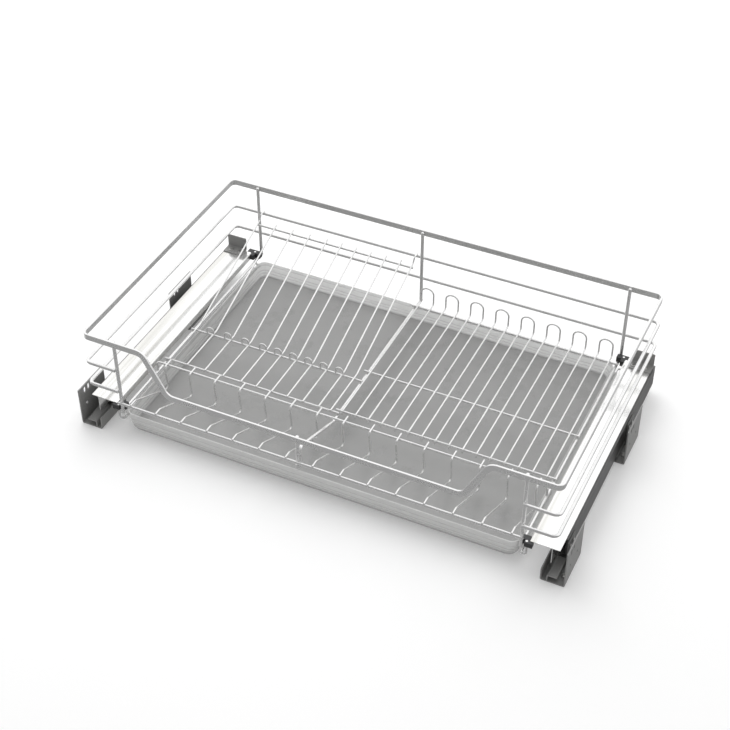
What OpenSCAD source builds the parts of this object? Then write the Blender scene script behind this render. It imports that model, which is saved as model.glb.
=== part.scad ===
// Pull-out dish rack for a base cabinet: a wire basket on two ball bearing runners,
// with a plate rack, a bowl rack and a clear drip tray.
// X runs across the cabinet, Y towards its back, Z up. The origin is on the cabinet
// floor, at the middle of the whole rack.

/* [Cabinet] */
// Clear width between the cabinet's side walls
cabinet_w = 864; // [840:1:900]
// Gap between a side wall and the top rail of the basket
side_gap = 20.8; // [19.5:0.1:26]

/* [Wire basket] */
// Depth of the basket over its top rail
frame_d = 498.7; // [495:0.1:520]
// Height of the top rail's upper edge above the cabinet floor
frame_h = 198.6; // [190:0.1:230]
// Height of the flat bar of the top rail
rail_bar_h = 11; // [8:0.5:14]
// Thickness of the flat bar of the top rail
rail_bar_t = 4; // [3:0.5:5]
// Radius of the rounded edges of the flat bar
rail_edge_r = 1; // [0.5:0.1:1.4]
// Radius of the basket's corners, at the middle of the bar
corner_r = 10; // [8:1:14]
// How far the top rail dips at the front, so that a hand reaches in
dip = 77; // [50:1:80]
// Distance of the dip's upper corners from the outside of the top rail
dip_side = 113.2; // [100:0.1:140]
// How far each slope of the dip reaches across
dip_slope = 40; // [30:1:60]
// Radius of the bends of the dip
dip_r = 19; // [14:1:24]
// Diameter of the side wires, the posts and the centre bar
wire_d = 6; // [5:0.5:6.5]
// Height of the upper side wire's middle
upper_wire_z = 138.3; // [134:0.1:145]
// Height of the lower side wire's middle
lower_wire_z = 92.9; // [89:0.1:96]
// Distance of the corner posts from the outside of the top rail
post_inset = 57.2; // [56:0.1:60]
// How far the posts end below the top rail's upper edge
post_drop = 3; // [2:0.5:5]
// Distance of the centre posts and the centre bar from the middle
centre_x = -25; // [-30:1:-22]
// Height of the middle of the side bars, which carry the racks
side_bar_z = 46.5; // [46:0.1:48]
// Diameter of the side bars and of the front bottom wire
bar_d = 5; // [4:0.5:5.5]
// How far the front posts reach below the side bars
post_reach = 1; // [0.5:0.1:1.2]
// Height of the front bottom wire's middle
front_wire_z = 67; // [65:0.1:69]

/* [Front cradle] */
// Diameter of the fine wires of the cradle and of both racks
fine_d = 3; // [2:0.5:3.5]
// Diameter of the cross wires under the fine wires
cross_d = 4; // [3:0.5:4.5]
// Distance between the cradle's wires
cradle_pitch = 48; // [40:1:60]
// Distance of the cradle's middle wire from the middle of the rack
cradle_shift = 3.6; // [0:0.1:20]
// Length of the cradle's level front
cradle_front_l = 14; // [10:1:18]
// Distance of the cradle's lowest point from the basket's front
cradle_low_y = 112.5; // [108:0.1:115]
// Height of the cradle's lowest corner
cradle_low_z = 20; // [18:0.1:26]
// How far the rear of the cradle leans to the front
cradle_lean = 5; // [2:0.5:8]
// Distance of the cradle's rear ends from the basket's front
cradle_d = 129; // [126:0.1:132]

/* [Plate rack] */
// Distance between the wires at the wide slots
wide_pitch = 35; // [32:0.5:38]
// Distance between the wires at the narrow slots
narrow_pitch = 29.5; // [26:0.5:30]
// Number of narrow slots
narrow_count = 5; // [4:1:5]
// Distance of the first slot wire from the centre bar
slot_lead = 34.5; // [33:0.5:40]
// Distance of the plate rack's left side wire from the left side bar
rack_side = 7; // [6:0.5:12]
// Distance of the plate rack's right side wire from the centre bar
rack_lap = 12; // [9:0.5:16]
// Distance of the plate rack's front cross wire from the basket's front
plate_front_y = 149; // [146:0.1:150]
// Distance of the row of arches from the basket's front
arch_y = 238; // [230:1:245]
// Width of an arch between the middles of its legs
arch_w = 13; // [11:0.5:16]
// Height of an arch above the wires
arch_h = 11; // [8:0.5:16]
// Distance of the foot of the ramp from the basket's front
ramp_y = 248; // [246:1:256]
// Height that the ramp rises to at its rear cross wire
ramp_rise = 79; // [60:1:80]
// Distance of the ramp's rear end from the basket's rear
ramp_back = 18.7; // [16:0.1:40]

/* [Bowl rack] */
// Distance between the wires of the bowl rack
bowl_pitch = 24; // [20:0.5:28]
// Distance of the bowl rack's first wire from the centre bar
bowl_lead = 6.5; // [5.5:0.5:12]
// Distance of the bowl rack's front cross wire from the basket's front
bowl_front_y = 156; // [155:0.1:160]
// Distance of the bowl rack's middle cross wire from the basket's front
bowl_mid_y = 265; // [240:1:300]
// Distance of the hoops from the basket's rear
hoop_back = 20.7; // [18:0.1:40]
// Height of the hoops above the wires
hoop_h = 33; // [25:0.5:45]

/* [Drip tray] */
// Distance of the tray's rim from the middle of the side bars
tray_side = 4; // [3.5:0.1:14]
// Distance of the tray's front rim from the basket's front
tray_front_y = 5; // [3:0.5:10]
// Distance of the tray's rear rim from the basket's rear
tray_back = 18.7; // [14:0.1:40]
// Height of the tray's underside above the cabinet floor
tray_z = 11; // [8:0.5:14]
// Height of the tray's rim above the cabinet floor
tray_rim_z = 42; // [38:0.5:42]
// Height that the front wall adds to the rim
tray_lip_h = 5; // [3:0.5:8]
// Thickness of the tray's walls and floor
tray_t = 2; // [1.5:0.1:3]
// Height of the tray's side ledges above its underside
tray_ledge_h = 19.3; // [16:0.1:22]
// How far the walls lean out from the floor to the rim
tray_draft = 6; // [3:0.5:8]
// Radius of the tray's corners
tray_r = 22; // [16:1:30]
// Distance of the wire legs that hang under the clips from the post
hanger_out = 8; // [8:0.5:9]

/* [Runners] */
// Height of the fixed rail
runner_h = 42; // [38:0.5:44]
// Depth of the fixed rail from its back to its open side
runner_d = 14.5; // [14.2:0.1:16]
// Thickness of the runner's rolled steel
runner_t = 1.2; // [0.9:0.1:1.3]
// Diameter of the bearing balls
ball_d = 4.4; // [4:0.1:4.6]
// Depth of a ball's track in the face of a flange
track_depth = 0.8; // [0.6:0.1:1]
// Distance between the inner and outer rows of balls, across the runner
row_pitch = 4.8; // [4.7:0.1:5.2]
// Number of balls in a row
ball_count = 8; // [5:1:10]
// Distance between the balls of a row
ball_pitch = 14; // [12:0.5:15]
// How far the fixed rail starts behind the front of the brackets
rail_inset = 44; // [40:0.5:46]
// Length of the fixed rail
fixed_l = 446.3; // [430:0.1:450]
// Length of the middle rail
middle_l = 440; // [425:1:442]
// How far the middle rail and the basket's rail start behind the front of the fixed rail
rail_step = 2; // [1:0.5:4]
// How far the basket pulls out
travel = 400; // [300:10:400]
// Distance of the outer cage from the fixed rail's front when the basket is pulled out
cage_lead = 10; // [5:1:12]
// Thickness of the ball cages
cage_t = 0.5; // [0.4:0.1:0.6]

/* [Cover plates] */
// Thickness of the cover plates and of the flanges under them
plate_t = 1.2; // [0.8:0.1:1.3]
// Distance of a cover plate's outer edge from the middle of the rack
plate_out = 17; // [15:0.5:18]
// Width of a cover plate
plate_w = 49; // [47:0.5:51]
// Height of the flange on a cover plate's inner edge
plate_flange_h = 12; // [10:0.5:14]
// Distance of a cover plate's front edge from the basket's front
plate_y = 9; // [8:0.5:10]
// Distance of a cover plate's rear edge from the basket's rear
plate_back = 23.7; // [23.2:0.1:60]
// Distance of the first flange screw from the front edge, and twice that of the last from the rear
screw_inset = 60; // [40:1:80]

/* [Brackets] */
// Thickness of the brackets' steel
bracket_t = 2; // [1.5:0.1:2.5]
// Height of a bracket's outer wall
bracket_h = 71.5; // [70:0.5:76]
// Length of a bracket
bracket_l = 74.2; // [72:0.1:80]
// Width of a bracket
bracket_w = 40; // [39:0.5:44]
// Height of a bracket's inner wall
bracket_lip_h = 24; // [18:0.5:26]
// Distance from the front brackets to the rear ones
bracket_pitch = 292; // [280:1:292]
// How far the front brackets stand in front of the top rail
bracket_lead = 6.3; // [4:0.1:8]
// Gap between a bracket's outer wall and the back of the runner
rail_gap = 12; // [11.5:0.1:13]
// Height of the step that carries the runner
step_h = 14.5; // [12:0.5:15]
// Diameter of the fixing holes
fix_d = 5; // [4:0.5:6]
// Distance between the fixing holes
fix_pitch = 32; // [30:1:36]
// Height of the fixing holes
fix_z = 32; // [28:1:36]
// Distance of the first fixing hole from the bracket's front edge
fix_y = 18.3; // [12:0.1:24]
// Distance of the first adjusting slot from the bracket's front edge
slot_y = 17.3; // [12:0.1:20]
// Distance between the adjusting slots
slot_pitch = 11; // [10:0.5:14]
// Width of the adjusting slots
slot_w = 6; // [5:0.5:7]
// Height of the adjusting slots
slot_h = 12; // [10:0.5:13]

/* [Clearances] */
// Gap between parts that lift off or slide past each other
play = 0.3; // [0.25:0.05:0.3]
// Gap around a ball in its track
ball_play = 0.1; // [0.05:0.01:0.12]
// Gap around a rivet, screw or wire in its hole
hole_play = 0.05; // [0.03:0.01:0.1]

/* [Hidden] */
$fn = 32;
eps = 0.01;

// The basket is drawn from its front at Y 0, and then moved so that the rack is centred.
frame_w = cabinet_w - 2 * side_gap;
side_x = frame_w / 2;
bar_x = side_x - rail_bar_t / 2;
bar_z = frame_h - rail_bar_h / 2;
wire_in = rail_bar_t - wire_d / 2;
wire_x = side_x - wire_in;
wire_back_y = frame_d - wire_in;
mid_y = (wire_back_y + wire_d / 2 - bracket_lead) / 2;
post_x = side_x - post_inset;
post_y = rail_bar_t + wire_d / 2;
back_post_y = frame_d - post_y;
post_foot_z = side_bar_z + bar_d / 2;
dip_top_x = side_x - dip_side;
dip_low_x = dip_top_x - dip_slope;
bar_end_y = frame_d - rail_bar_t;
centre_bar_z = post_foot_z - wire_d / 2;
bar_front_y = post_y + wire_d / 2;
front_foot_z = side_bar_z - bar_d / 2 - post_reach;
centre_bar_r = 8;
wire_r = 10;
bend_r = 6;
small_r = 5;
bend_thin = 0.04;
bend_reach = 1.5;
cut = 1;

// Racks: the cross wires rest on the side bars, and the fine wires lie on the cross wires.
cross_z = post_foot_z + play + cross_d / 2;
fine_z = cross_z + cross_d / 2 + fine_d / 2;
cradle_z = front_wire_z + bar_d / 2 + fine_d / 2;
cradle_cross_z = cradle_z - fine_d / 2 - cross_d / 2;
cradle_cross_back = 10;
cradle_cross_y = cradle_d - cradle_cross_back;
side_room = 8;
cradle_side = floor((post_x - cradle_shift - side_room) / cradle_pitch);
side_overhang = 3;
rack_end_x = post_x + side_overhang;
centre_overhang = 2;
plate_end_x = centre_x + centre_overhang;
wire_lead = 3;
first_slot_x = centre_x - slot_lead;
last_narrow_x = first_slot_x - narrow_count * narrow_pitch;
plate_left_x = -post_x + rack_side;
plate_right_x = centre_x - rack_lap;
wide_count = floor((last_narrow_x - plate_left_x) / wide_pitch + eps);
wire_columns = [
    for (i = [0:narrow_count]) first_slot_x - i * narrow_pitch,
    for (i = [1:1:wide_count - 1]) last_narrow_x - i * wide_pitch
];
ramp_top_y = frame_d - ramp_back;
ramp_angle = atan(ramp_rise / (ramp_top_y - ramp_y));
hook_y = frame_d;
hook_r = 3;
hook_lead = 6;
ramp_cross_back = 6;
hook_z = upper_wire_z + wire_d / 2 + play + fine_d / 2;
hoop_y = frame_d - hoop_back;
first_bowl_x = centre_x + bowl_lead;
bowl_pairs = floor((post_x - side_room - first_bowl_x + bowl_pitch) / (2 * bowl_pitch));
bowl_tip_gap = 1;
bowl_tip_drop = 6;
bowl_tip_y = bowl_front_y - cross_d / 2 - fine_d / 2 - bowl_tip_gap;
bowl_rear_gap = 13;
bowl_rear_y = hoop_y - bowl_rear_gap;
round_gap = 0.5;

// Runner profile: u runs from the back of the fixed rail to its open side, v from the middle up.
track_r = ball_d / 2 + ball_play;
bulge_r = track_r + runner_t;
outer_ball_v = runner_h / 2 - bulge_r;
fixed_v = outer_ball_v + track_r - track_depth;
middle_v = outer_ball_v - track_r + track_depth;
inner_ball_v = middle_v - runner_t + track_depth - track_r;
basket_v = inner_ball_v - track_r + track_depth;
cage_u = runner_t + play;
middle_u = cage_u + cage_t + play;
outer_ball_u = middle_u + bulge_r;
inner_ball_u = outer_ball_u + row_pitch;
inner_cage_u = middle_u + runner_t + play;
basket_u = runner_d + play;
rail_back_x = cabinet_w / 2 - bracket_t - rail_gap;
runner_z = step_h + runner_h / 2;
fixed_y = rail_inset - bracket_lead;
middle_y = fixed_y + rail_step;
basket_rail_y = middle_y + rail_step;
outer_cage_y = fixed_y + travel / 4 + cage_lead;
inner_cage_y = travel / 2 + 2 * cage_lead;
cage_l = ball_count * ball_pitch + 2 * ball_d;
cage_lap = 1;

// Cover plates, with the flange that hangs down to the basket's rail.
plate_l = frame_d - plate_y - plate_back;
plate_z = step_h + runner_h + play + plate_t;
plate_fold_r = 1.5;
hang_drop = 9.5;
hang_x = rail_back_x - basket_u - plate_t;
plate_out_x = cabinet_w / 2 - plate_out;
plate_in_x = plate_out_x - plate_w;
clip_l = 10;
clip_out = 22;
clip_wall = 1.5;
clip_in = -bar_d / 2 - clip_wall;
clip_h = plate_z - plate_t - side_bar_z;
clip_y = bar_front_y + play;
boss_l = 8;
boss_w = 13;
boss_h = 9;
boss_wall = 3;
tongue_l = 6;
tongue_in = 5;
rear_clip_gap = 2;
rear_clip_y = plate_y + plate_l + rear_clip_gap;
rear_clip_l = 10;
tray_ledge_z = tray_z + tray_ledge_h;
hanger_z = tray_ledge_z - play - cross_d / 2;
hanger_x = post_x + hanger_out;
hanger_front_y = plate_y - 1;
hanger_r = 3.5;
hanger_back_y = rear_clip_y + rear_clip_l / 2;
screw_d = 4;
screw_head_h = 1.6;
screw_ys = [plate_y + screw_inset, plate_y + plate_l / 2, plate_y + plate_l - 2 * screw_inset];

// Rear stops stand on the cover plates.
stop_t = 2;
stop_h = 26;
stop_in = 12;
stop_out = 50;
stop_foot_l = 22;
stop_over = 4;
stop_y = plate_y + plate_l + stop_over;
stop_fold_r = 3;
stop_screw_back = 14;
stop_screw_shift = 3;
stop_screw_pitch = 20;
stop_x = plate_in_x + (stop_in + stop_out) / 2;

// Brackets: one shape, drawn at the front right.
tab_h = 48;
step_gap = 1.5;
bracket_fold_r = 2;
slot_drop = 10;
tab_l = bracket_l - rail_inset;
rivet_y = rail_inset + tab_l / 2;
rivet_pitch = 14;
rivet_d = 4;
rivet_head_d = 7;
rivet_head_h = 1.4;
adjust_d = 5;
adjust_head_d = 9;
adjust_head_h = 3;
adjust_in = 5.5;
adjust_y = 20;
adjust_x = cabinet_w / 2 - bracket_t - adjust_in;

// Drip tray
tray_x = post_x - tray_side;
tray_back_y = frame_d - tray_back;
lip_lap = 3;
bead_d = 2.4;
bead_drop = 1.5;
bead_low = 5;
ledge_gap = 1.3;
post_cap_drop = 13;
post_cap_z = front_wire_z - post_cap_drop;
post_cap_t = 2;

// Drawing helpers

function unit(v) = v / norm(v);
function heading(p, i) = unit(p[i + 1] - p[i]);
function turn(p, i) = acos(heading(p, i - 1) * heading(p, i));
function radius(r, i) = is_list(r) ? r[i] : r;
function trim(p, i, r) = i == 0 || i == len(p) - 1 ? 0 : radius(r, i) * tan(turn(p, i) / 2);

// The direction square to stretch i that lies in the plane of the next bend, or of the last one.
function inward(a, b) = unit(b - a * (a * b));
function side(p, i) =
    len(p) == 2 ? (abs(heading(p, 0).z) > 0.9 ? [1, 0, 0] : unit(cross([0, 0, 1], heading(p, 0))))
    : i < len(p) - 2 ? inward(heading(p, i), heading(p, i + 1))
    : inward(heading(p, i), -heading(p, i - 1));

module centred() {
    translate([0, -mid_y, 0]) children();
}

module flip(side) {
    mirror([side < 0 ? 1 : 0, 0, 0]) children();
}

module both_sides() {
    children();
    mirror([1, 0, 0]) children();
}

module at_frame(o, x, z) {
    y = cross(z, x);
    multmatrix([[x.x, y.x, z.x, o.x], [x.y, y.y, z.y, o.y], [x.z, y.z, z.z, o.z], [0, 0, 0, 1]])
        children();
}

// The section of a wire, or of a flat bar with edges rounded to radius edge.
module section(s, edge) {
    if (!is_list(s))
        circle(d = s);
    else if (edge == 0)
        square(s, center = true);
    else {
        square([s.x - 2 * edge, s.y], center = true);
        square([s.x, s.y - 2 * edge], center = true);
        for (x = [-1, 1], y = [-1, 1])
            translate([x * (s.x / 2 - edge), y * (s.y / 2 - edge)])
                circle(r = edge);
    }
}

// A wire or flat bar along the corner points p, with bends of radius r, which is one radius
// or a list with one for each point. Its size s is a diameter, or the sides of a flat bar
// in and across the plane of its bends.
module wire(p, s, r = bend_r, edge = 0) {
    for (i = [0:len(p) - 2]) {
        l = norm(p[i + 1] - p[i]) - trim(p, i, r) - trim(p, i + 1, r);
        at_frame(p[i] + heading(p, i) * trim(p, i, r), side(p, i), heading(p, i))
            linear_extrude(l) section(s, edge);
    }
    if (len(p) > 2)
        for (i = [1:len(p) - 2])
            bend(p, i, s, radius(r, i), edge);
}

// A bend is a hair thinner than the straight runs, and reaches into their ends.
module bend(p, i, s, r, edge) {
    thin = is_list(s) ? s - [bend_thin, bend_thin] : s - bend_thin;
    a = heading(p, i - 1);
    b = heading(p, i);
    centre = p[i] + unit(b - a) * r / cos(turn(p, i) / 2);
    start = p[i] - a * trim(p, i, r);
    at_frame(centre, unit(start - centre), unit(cross(a, b)))
        rotate([0, 0, -bend_reach])
            rotate_extrude(angle = turn(p, i) + 2 * bend_reach)
                translate([r, 0]) section(thin, edge);
}

// Wire basket

module top_rail() {
    color("gainsboro") centred() {
        front = rail_bar_t / 2;
        back = frame_d - rail_bar_t / 2;
        corner = bar_x - 2 * corner_r;
        wire([[corner, front, bar_z], [bar_x, front, bar_z], [bar_x, back, bar_z], [-bar_x, back, bar_z],
              [-bar_x, front, bar_z], [-corner, front, bar_z]],
             [rail_bar_t, rail_bar_h], corner_r, rail_edge_r);
        wire([[-corner, front, bar_z], [-dip_top_x, front, bar_z], [-dip_low_x, front, bar_z - dip],
              [dip_low_x, front, bar_z - dip], [dip_top_x, front, bar_z], [corner, front, bar_z]],
             [rail_bar_h, rail_bar_t], dip_r, rail_edge_r);
    }
}

// A side wire runs from one front post around the back to the other.
module side_wire(z) {
    y = wire_in;
    color("gainsboro") centred()
        wire([[post_x, y, z], [wire_x, y, z], [wire_x, wire_back_y, z], [-wire_x, wire_back_y, z],
              [-wire_x, y, z], [-post_x, y, z]], wire_d, wire_r);
}

module upper_side_wire() {
    side_wire(upper_wire_z);
}

module lower_side_wire() {
    side_wire(lower_wire_z);
}

module post(x, y, foot, top) {
    translate([x, y, foot])
        cylinder(d = wire_d, h = top - foot);
}

module front_posts() {
    color("gainsboro") centred() both_sides()
        post(post_x, post_y, front_foot_z, frame_h - post_drop);
}

module front_centre_post() {
    color("gainsboro") centred()
        post(centre_x, post_y, post_cap_z + post_cap_t, frame_h - dip - post_drop);
}

// A small cup closes the lower end of the centre post.
module post_cap() {
    color("gainsboro") centred()
        translate([centre_x, post_y, post_cap_z])
            difference() {
                cylinder(d = wire_d + 1.5 * post_cap_t, h = 3 * post_cap_t);
                translate([0, 0, post_cap_t])
                    cylinder(d = wire_d + 2 * hole_play, h = 3 * post_cap_t);
            }
}

module back_posts() {
    top = frame_h - post_drop;
    color("gainsboro") centred() {
        both_sides() post(post_x, back_post_y, post_foot_z, top);
        post(centre_x, back_post_y, post_foot_z, top);
    }
}

// The side bars run back from the front posts, and carry the racks.
module side_bars() {
    color("gainsboro") centred() both_sides()
        wire([[post_x, bar_front_y, side_bar_z], [post_x, bar_end_y, side_bar_z]], bar_d);
}

// The centre bar carries both racks, and climbs at the front to stand behind the centre post.
module centre_bar() {
    front_y = post_y + wire_d;
    rise_y = plate_front_y - 3 * wire_d;
    crest_z = lower_wire_z - wire_d / 3;
    color("gainsboro") centred()
        wire([[centre_x, bar_end_y, centre_bar_z], [centre_x, rise_y, centre_bar_z],
              [centre_x, front_y, crest_z], [centre_x, front_y, front_wire_z - wire_d]],
             wire_d, centre_bar_r);
}

module front_bottom_wire() {
    y = rail_bar_t - bar_d / 2;
    color("gainsboro") centred()
        wire([[-post_x - wire_d / 2, y, front_wire_z], [post_x + wire_d / 2, y, front_wire_z]], bar_d);
}

// The cradle's wires slope down from the front wire to hold cups.
module cradle_wires() {
    rear_y = cradle_low_y - cradle_lean;
    color("gainsboro") centred()
        for (i = [-cradle_side:cradle_side]) {
            x = cradle_shift + i * cradle_pitch;
            wire([[x, 0, cradle_z], [x, cradle_front_l, cradle_z], [x, cradle_low_y, cradle_low_z],
                  [x, rear_y, cradle_z], [x, cradle_d, cradle_z]], fine_d);
        }
}

// The cradle's cross wire stands on the side bars.
module cradle_cross_wire() {
    y = cradle_cross_y;
    color("gainsboro") centred()
        wire([[-post_x, y, post_foot_z], [-post_x, y, cradle_cross_z],
              [post_x, y, cradle_cross_z], [post_x, y, post_foot_z]], cross_d);
}

// Racks

module cross_wire(from, to, y, z = cross_z) {
    wire([[from, y, z], [to, y, z]], cross_d);
}

// A wire of the plate rack: level at the front, then up the ramp; end wires hook over the side wire.
module plate_wire(x, hooked) {
    top = [x, ramp_top_y, fine_z + ramp_rise];
    level = [[x, plate_front_y - wire_lead, fine_z], [x, ramp_y, fine_z], top];
    hook = [[x, ramp_top_y + hook_lead, hook_z], [x, hook_y, hook_z]];
    wire(hooked ? concat(level, hook) : level, fine_d, hooked ? hook_r : bend_r);
}

module plate_rack_wires() {
    color("gainsboro") centred() {
        for (x = wire_columns)
            plate_wire(x, false);
        plate_wire(plate_left_x, true);
        plate_wire(plate_right_x, true);
    }
}

// Each arch stands with one leg on a wire, and with the other on the cross wire.
module plate_rack_arches() {
    foot = cross_z + cross_d / 2;
    top = fine_z + arch_h;
    color("gainsboro") centred()
        for (x = wire_columns)
            wire([[x - arch_w, arch_y, foot], [x - arch_w, arch_y, top], [x, arch_y, top],
                  [x, arch_y, fine_z + fine_d / 2]], fine_d, arch_w / 2 - round_gap);
}

module plate_rack_cross_wires() {
    ramp_cross_y = ramp_top_y - ramp_cross_back;
    drop = (cross_d / 2 + fine_d / 2) / cos(ramp_angle);
    color("gainsboro") centred() {
        cross_wire(-rack_end_x, plate_end_x, plate_front_y);
        cross_wire(-rack_end_x, plate_end_x, arch_y);
        cross_wire(plate_left_x - cross_d / 2, plate_right_x + cross_d / 2, ramp_cross_y,
                   fine_z + (ramp_cross_y - ramp_y) * tan(ramp_angle) - drop);
    }
}

// Two neighbouring wires of the bowl rack are one wire, bent into a round hoop at the rear.
module bowl_pair(x) {
    tip = fine_z - bowl_tip_drop;
    top = fine_z + hoop_h;
    x2 = x + bowl_pitch;
    round_r = bowl_pitch / 2 - round_gap;
    wire([[x, bowl_tip_y, tip], [x, bowl_tip_y, fine_z], [x, hoop_y, fine_z], [x, hoop_y, top],
          [x2, hoop_y, top], [x2, hoop_y, fine_z], [x2, bowl_tip_y, fine_z], [x2, bowl_tip_y, tip]],
         fine_d, [0, small_r, small_r, round_r, round_r, small_r, small_r, 0]);
}

module bowl_rack_wires() {
    color("gainsboro") centred()
        for (i = [0:bowl_pairs - 1])
            bowl_pair(first_bowl_x + 2 * i * bowl_pitch);
}

module bowl_rack_cross_wires() {
    color("gainsboro") centred()
        for (y = [bowl_front_y, bowl_mid_y, bowl_rear_y])
            cross_wire(centre_x - wire_d, rack_end_x, y);
}

// Drip tray

module tray_plan(inset) {
    w = tray_x - inset;
    r = tray_r;
    for (x = [-w + r, w - r], y = [tray_front_y + inset + r, tray_back_y - inset - r])
        translate([x, y]) circle(r = r);
}

module tray_body(inset, low, high) {
    hull() {
        translate([0, 0, low])
            linear_extrude(eps) tray_plan(inset + tray_draft);
        translate([0, 0, high - eps])
            linear_extrude(eps) tray_plan(inset);
    }
}

// The front wall stands higher than the rest of the rim, where the side bars leave room.
module tray_front_lip() {
    w = 2 * (tray_x - tray_r - tray_t);
    translate([-w / 2, tray_front_y, tray_rim_z - lip_lap])
        cube([w, tray_t, tray_lip_h + lip_lap]);
    for (z = [tray_rim_z + tray_lip_h - bead_drop, tray_rim_z - bead_low])
        translate([-w / 2, tray_front_y + tray_t / 10, z])
            rotate([0, 90, 0])
                cylinder(d = bead_d, h = w);
}

// The ledges along the sides ride on the hanger wires.
module tray_ledge() {
    inside = tray_x - tray_draft;
    outside = hanger_x - cross_d / 2 - ledge_gap;
    translate([inside, tray_front_y + tray_r + tray_draft, tray_ledge_z])
        cube([outside - inside, tray_back_y - tray_front_y - 2 * tray_r - 2 * tray_draft, tray_t]);
}

module drip_tray() {
    color("silver", 0.6) centred() {
        difference() {
            union() {
                tray_body(0, tray_z, tray_rim_z);
                both_sides() tray_ledge();
            }
            tray_body(tray_t, tray_z + tray_t, tray_rim_z + eps);
        }
        tray_front_lip();
    }
}

// A hanger carries one ledge of the tray: it drops from the front clip, runs back under the ledge
// and climbs into the rear clip.
module tray_hanger() {
    run_x = post_x;
    top_z = plate_z - plate_t;
    color("gainsboro") centred()
        wire([[hanger_x, hanger_front_y, top_z], [hanger_x, hanger_front_y, hanger_z],
              [run_x, hanger_front_y, hanger_z], [run_x, hanger_back_y, hanger_z],
              [hanger_x, hanger_back_y, hanger_z], [hanger_x, hanger_back_y, top_z]],
             cross_d, hanger_r);
}

module tray_hanger_left() {
    flip(-1) tray_hanger();
}

module tray_hanger_right() {
    tray_hanger();
}

// Clips: each sits on a side bar, and holds a hanger's leg and a cover plate's end.
module clip(y, l, from, to) {
    translate([post_x + from, y, plate_z - plate_t - clip_h])
        cube([to - from, l, clip_h]);
}

module hanger_bore(y) {
    translate([hanger_x, y, 0])
        cylinder(d = cross_d + 2 * hole_play, h = frame_h);
}

// A front clip grips the bar behind the post, and its boss stands beside the post.
module front_clips() {
    boss_y = clip_y + boss_wall / 2 - boss_l;
    color("dimgray") centred() both_sides()
        difference() {
            union() {
                clip(clip_y, clip_l, clip_in, plate_in_x - post_x - play);
                translate([hanger_x - boss_wall, boss_y, plate_z - plate_t - boss_h])
                    cube([boss_w, boss_l, boss_h]);
            }
            translate([post_x, bar_front_y, side_bar_z])
                rotate([-90, 0, 0])
                    cylinder(d = bar_d + 2 * hole_play, h = 2 * clip_l);
            hanger_bore(hanger_front_y);
        }
}

module rear_clips() {
    color("dimgray") centred() both_sides()
        difference() {
            union() {
                clip(rear_clip_y, rear_clip_l, clip_in, clip_out);
                clip(plate_y + plate_l - tongue_l, rear_clip_l, tongue_in, clip_out);
            }
            translate([post_x, rear_clip_y - cut, side_bar_z])
                rotate([-90, 0, 0])
                    cylinder(d = bar_d + 2 * hole_play, h = rear_clip_l + 2 * cut);
            hanger_bore(hanger_back_y);
        }
}

// A notch in a cover plate's folded edge, which leaves room for a clip.
module flange_notch(from, to) {
    translate([plate_in_x - cut, from, plate_z - plate_flange_h - cut])
        cube([plate_t + plate_fold_r + 2 * cut, to - from, plate_flange_h - plate_t + cut]);
}

// A cover plate hides the runner; its inner edge is folded down, and a flange under it
// is screwed to the basket's rail.
module cover_plate() {
    low = runner_z - hang_drop;
    boss_end = clip_y + boss_wall / 2 + play;
    tongue_y = plate_y + plate_l - tongue_l - play;
    color("whitesmoke") centred()
        difference() {
            union() {
                wire([[plate_in_x + plate_t / 2, plate_y + plate_l / 2, plate_z - plate_flange_h],
                      [plate_in_x + plate_t / 2, plate_y + plate_l / 2, plate_z - plate_t / 2],
                      [plate_out_x, plate_y + plate_l / 2, plate_z - plate_t / 2]],
                     [plate_t, plate_l], plate_fold_r);
                translate([hang_x, plate_y, low])
                    cube([plate_t, plate_l, plate_z - plate_t / 2 - low]);
            }
            flange_notch(plate_y - cut, boss_end);
            flange_notch(tongue_y, plate_y + plate_l + cut);
            for (y = screw_ys)
                translate([hang_x - cut, y, runner_z])
                    rotate([0, 90, 0])
                        cylinder(d = screw_d + 2 * hole_play, h = plate_t + 2 * cut);
        }
}

module cover_plate_left() {
    flip(-1) cover_plate();
}

module cover_plate_right() {
    cover_plate();
}

// Screws with a low round head, which join a cover plate's flange to the basket's rail.
module plate_screws() {
    color("silver") centred() both_sides()
        for (y = screw_ys)
            translate([hang_x, y, runner_z])
                rotate([0, 90, 0]) {
                    cylinder(d = screw_d, h = plate_t + runner_t);
                    translate([0, 0, -screw_head_h])
                        cylinder(d = 2 * screw_d, h = screw_head_h);
                }
}

// A rear stop is an upright plate on a foot, screwed to the rear of a cover plate.
module rear_stop() {
    y = stop_y - stop_t / 2;
    color("dimgray") centred()
        difference() {
            wire([[stop_x, stop_y - stop_foot_l, plate_z + stop_t / 2],
                  [stop_x, y, plate_z + stop_t / 2],
                  [stop_x, y, plate_z + stop_h]], [stop_t, stop_out - stop_in], stop_fold_r);
            stop_screw_places()
                translate([0, 0, -cut])
                    cylinder(d = screw_d + 2 * hole_play, h = stop_t + 2 * cut);
        }
}

module stop_screw_places() {
    x = stop_x - stop_screw_shift;
    for (side = [-1, 1])
        translate([x + side * stop_screw_pitch / 2, stop_y - stop_screw_back, plate_z])
            children();
}

module rear_stop_left() {
    flip(-1) rear_stop();
}

module rear_stop_right() {
    rear_stop();
}

module stop_screws() {
    color("silver") centred() both_sides()
        stop_screw_places() {
            cylinder(d = screw_d, h = stop_t);
            translate([0, 0, stop_t])
                cylinder(d = 2 * screw_d, h = screw_head_h);
        }
}

// Runners

// Draws a profile given in u and v, along the right runner, from y to y + l.
module along_runner(y, l) {
    translate([rail_back_x, y + l, runner_z])
        rotate([90, 0, 0])
            mirror([1, 0, 0])
                linear_extrude(l)
                    children();
}

module both_flanges() {
    children();
    mirror([0, 1]) children();
}

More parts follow.
